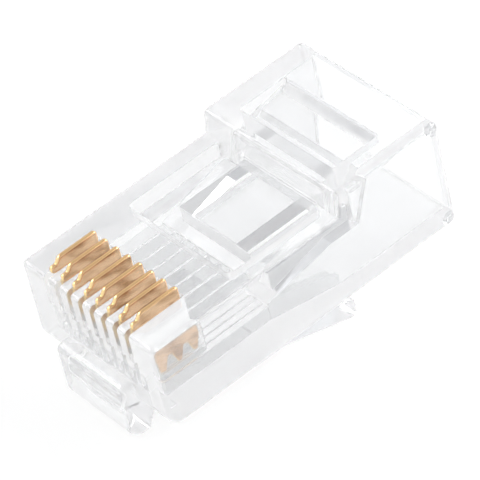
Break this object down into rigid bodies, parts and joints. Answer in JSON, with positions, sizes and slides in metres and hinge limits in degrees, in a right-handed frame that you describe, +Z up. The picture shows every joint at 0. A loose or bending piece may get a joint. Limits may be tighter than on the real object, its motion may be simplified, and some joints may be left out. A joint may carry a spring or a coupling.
{
  "type": "rj45 modular plug",
  "caption": "Clear eight-way modular plug with gold blades, a sprung latch lever and two cable clamps, lying latch down as a loose plug does.",
  "frame": {"origin": "on the surface it lies on, below the middle of its bounding box", "axes": "+Y from the nose to the cable entry, +X across the width, +Z up; the body is tipped nose down by 14 degrees, as it rests on its chin and latch tab"},
  "size_m": [0.0116, 0.0222, 0.0145],
  "materials": {
    "clear_plastic": "clear, glossy moulded polycarbonate",
    "contact_gold": "bright gold plating"
  },
  "bodies": {
    "plug": {"housing": "clear_plastic"},
    "latch": {"latch_lever": "clear_plastic"},
    "blade_1": {"contact_1": "contact_gold"},
    "blade_2": {"contact_2": "contact_gold"},
    "blade_3": {"contact_3": "contact_gold"},
    "blade_4": {"contact_4": "contact_gold"},
    "blade_5": {"contact_5": "contact_gold"},
    "blade_6": {"contact_6": "contact_gold"},
    "blade_7": {"contact_7": "contact_gold"},
    "blade_8": {"contact_8": "contact_gold"},
    "front_clamp": {"conductor_clamp": "clear_plastic"},
    "rear_clamp": {"jacket_clamp": "clear_plastic"}
  },
  "joints": [
    {"name": "latch_flex", "type": "hinge", "parent": "plug", "child": "latch", "pos_m": [0, -0.00828, 0.00186], "axis": [1, 0, 0], "range_deg": [0, 9], "stiffness_Nm_per_rad": 0.05},
    {"name": "crimp_1", "type": "slide", "parent": "plug", "child": "blade_1", "axis": [0, 0.2426, -0.9701], "range_m": [0, 0.0013]},
    {"name": "crimp_2", "type": "slide", "parent": "plug", "child": "blade_2", "axis": [0, 0.2426, -0.9701], "range_m": [0, 0.0013]},
    {"name": "crimp_3", "type": "slide", "parent": "plug", "child": "blade_3", "axis": [0, 0.2426, -0.9701], "range_m": [0, 0.0013]},
    {"name": "crimp_4", "type": "slide", "parent": "plug", "child": "blade_4", "axis": [0, 0.2426, -0.9701], "range_m": [0, 0.0013]},
    {"name": "crimp_5", "type": "slide", "parent": "plug", "child": "blade_5", "axis": [0, 0.2426, -0.9701], "range_m": [0, 0.0013]},
    {"name": "crimp_6", "type": "slide", "parent": "plug", "child": "blade_6", "axis": [0, 0.2426, -0.9701], "range_m": [0, 0.0013]},
    {"name": "crimp_7", "type": "slide", "parent": "plug", "child": "blade_7", "axis": [0, 0.2426, -0.9701], "range_m": [0, 0.0013]},
    {"name": "crimp_8", "type": "slide", "parent": "plug", "child": "blade_8", "axis": [0, 0.2426, -0.9701], "range_m": [0, 0.0013]},
    {"name": "conductor_clamp_tilt", "type": "hinge", "parent": "plug", "child": "front_clamp", "pos_m": [0, -0.00188, 0.00903], "axis": [-1, 0, 0], "range_deg": [0, 18]},
    {"name": "jacket_clamp_tilt", "type": "hinge", "parent": "plug", "child": "rear_clamp", "pos_m": [0, 0.00656, 0.01361], "axis": [1, 0, 0], "range_deg": [0, 28]}
  ]
}
